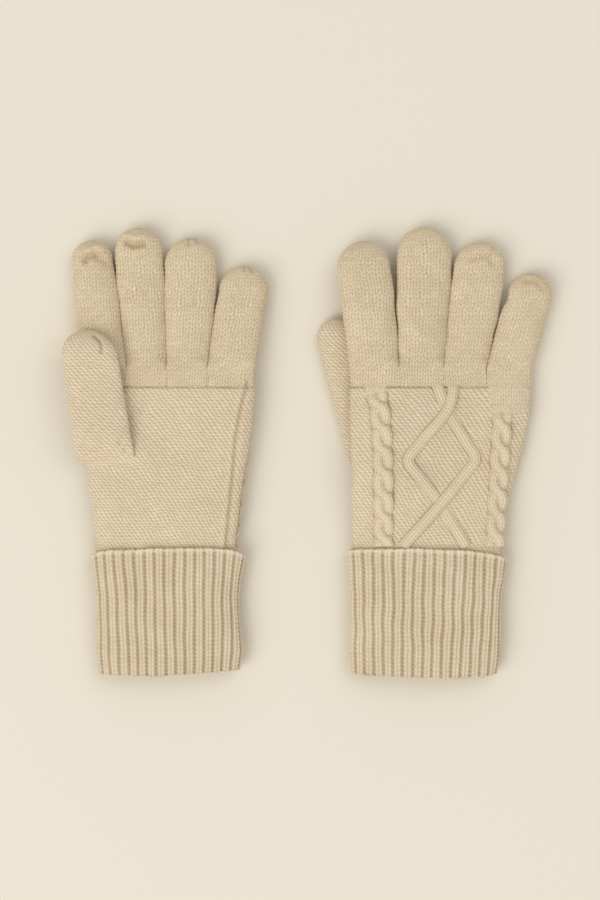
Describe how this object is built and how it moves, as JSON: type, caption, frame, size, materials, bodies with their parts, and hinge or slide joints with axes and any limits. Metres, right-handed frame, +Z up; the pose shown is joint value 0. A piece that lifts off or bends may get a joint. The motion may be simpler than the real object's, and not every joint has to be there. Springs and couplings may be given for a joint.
{
  "type": "pair of gloves",
  "caption": "Pair of sand-coloured wool gloves with full fingers, raised cables on the back and turned-up ribbed cuffs, laid flat.",
  "frame": {"origin": "middle of the bottom of the pair's bounding box, on the table", "axes": "+X across the pair from the left glove to the right one, +Y from the cuffs to the fingertips, +Z up from the table"},
  "size_m": [0.2732, 0.252, 0.0257],
  "materials": {
    "plain_knit": "matt wool, plain knitting",
    "purl_knit": "matt wool, purl side out",
    "rib_knit": "matt wool, one by one rib",
    "trim_yarn": "matt wool yarn"
  },
  "bodies": {
    "left_hand": {"left_palm_panel": "purl_knit", "left_back_panel": "purl_knit", "left_knuckle_band": "plain_knit", "left_index_finger_base": "plain_knit", "left_thumb_join": "trim_yarn", "left_cuff_leg": "rib_knit", "left_thumb_side_rope_cable": "plain_knit", "left_little_side_rope_cable": "plain_knit", "left_diamond_thumb_side_cord": "plain_knit", "left_diamond_little_side_cord": "plain_knit"},
    "left_index": {"left_index_finger": "plain_knit", "left_index_tip_yarn": "trim_yarn"},
    "left_middle": {"left_middle_finger": "plain_knit", "left_middle_tip_yarn": "trim_yarn"},
    "left_ring": {"left_ring_finger": "plain_knit", "left_ring_tip_yarn": "trim_yarn"},
    "left_little": {"left_little_finger": "plain_knit", "left_little_tip_yarn": "trim_yarn"},
    "left_thumb": {"left_thumb": "purl_knit", "left_thumb_tip_yarn": "trim_yarn"},
    "left_turn_up": {"left_cuff_turn_up": "rib_knit", "left_cuff_cast_off_edge": "trim_yarn"},
    "right_hand": {"right_palm_panel": "purl_knit", "right_back_panel": "purl_knit", "right_knuckle_band": "plain_knit", "right_index_finger_base": "plain_knit", "right_thumb_join": "trim_yarn", "right_cuff_leg": "rib_knit", "right_thumb_side_rope_cable": "plain_knit", "right_little_side_rope_cable": "plain_knit", "right_diamond_thumb_side_cord": "plain_knit", "right_diamond_little_side_cord": "plain_knit"},
    "right_index": {"right_index_finger": "plain_knit", "right_index_tip_yarn": "trim_yarn"},
    "right_middle": {"right_middle_finger": "plain_knit", "right_middle_tip_yarn": "trim_yarn"},
    "right_ring": {"right_ring_finger": "plain_knit", "right_ring_tip_yarn": "trim_yarn"},
    "right_little": {"right_little_finger": "plain_knit", "right_little_tip_yarn": "trim_yarn"},
    "right_thumb": {"right_thumb": "purl_knit", "right_thumb_tip_yarn": "trim_yarn"},
    "right_turn_up": {"right_cuff_turn_up": "rib_knit", "right_cuff_cast_off_edge": "trim_yarn"}
  },
  "joints": [
    {"name": "left_index_bend", "type": "hinge", "parent": "left_hand", "child": "left_index", "pos_m": [-0.11462, 0.0701, 0.01517], "axis": [1, 0, 0], "range_deg": [0, 90]},
    {"name": "left_middle_bend", "type": "hinge", "parent": "left_hand", "child": "left_middle", "pos_m": [-0.09037, 0.0461, 0.01689], "axis": [1, 0, 0], "range_deg": [0, 90]},
    {"name": "left_ring_bend", "type": "hinge", "parent": "left_hand", "child": "left_ring", "pos_m": [-0.06807, 0.0461, 0.01689], "axis": [1, 0, 0], "range_deg": [0, 90]},
    {"name": "left_little_bend", "type": "hinge", "parent": "left_hand", "child": "left_little", "pos_m": [-0.04317, 0.0461, 0.01689], "axis": [1, 0, 0], "range_deg": [0, 90]},
    {"name": "left_thumb_open", "type": "hinge", "parent": "left_hand", "child": "left_thumb", "pos_m": [-0.11287, -0.00355, 0.0258], "axis": [1, 0, 0], "range_deg": [0, 90]},
    {"name": "left_turn_up_unroll", "type": "slide", "parent": "left_hand", "child": "left_turn_up", "axis": [0, -1, 0], "range_m": [0, 0.062]},
    {"name": "right_index_bend", "type": "hinge", "parent": "right_hand", "child": "right_index", "pos_m": [0.03658, 0.0769, 0.00748], "axis": [-1, 0, 0], "range_deg": [0, 90]},
    {"name": "right_middle_bend", "type": "hinge", "parent": "right_hand", "child": "right_middle", "pos_m": [0.06298, 0.0461, 0.00238], "axis": [-1, 0, 0], "range_deg": [0, 90]},
    {"name": "right_ring_bend", "type": "hinge", "parent": "right_hand", "child": "right_ring", "pos_m": [0.08738, 0.0461, 0.0003], "axis": [-1, 0, 0], "range_deg": [0, 90]},
    {"name": "right_little_bend", "type": "hinge", "parent": "right_hand", "child": "right_little", "pos_m": [0.11238, 0.0461, 0.0003], "axis": [-1, 0, 0], "range_deg": [0, 90]},
    {"name": "right_thumb_open", "type": "hinge", "parent": "right_hand", "child": "right_thumb", "pos_m": [0.03783, -0.00505, 0], "axis": [-1, 0, 0], "range_deg": [0, 90]},
    {"name": "right_turn_up_unroll", "type": "slide", "parent": "right_hand", "child": "right_turn_up", "axis": [0, -1, 0], "range_m": [0, 0.062]},
    {"name": "right_glove_lift", "type": "slide", "parent": "left_hand", "child": "right_hand", "axis": [0, 0, 1], "range_m": [0, 0.15]}
  ]
}
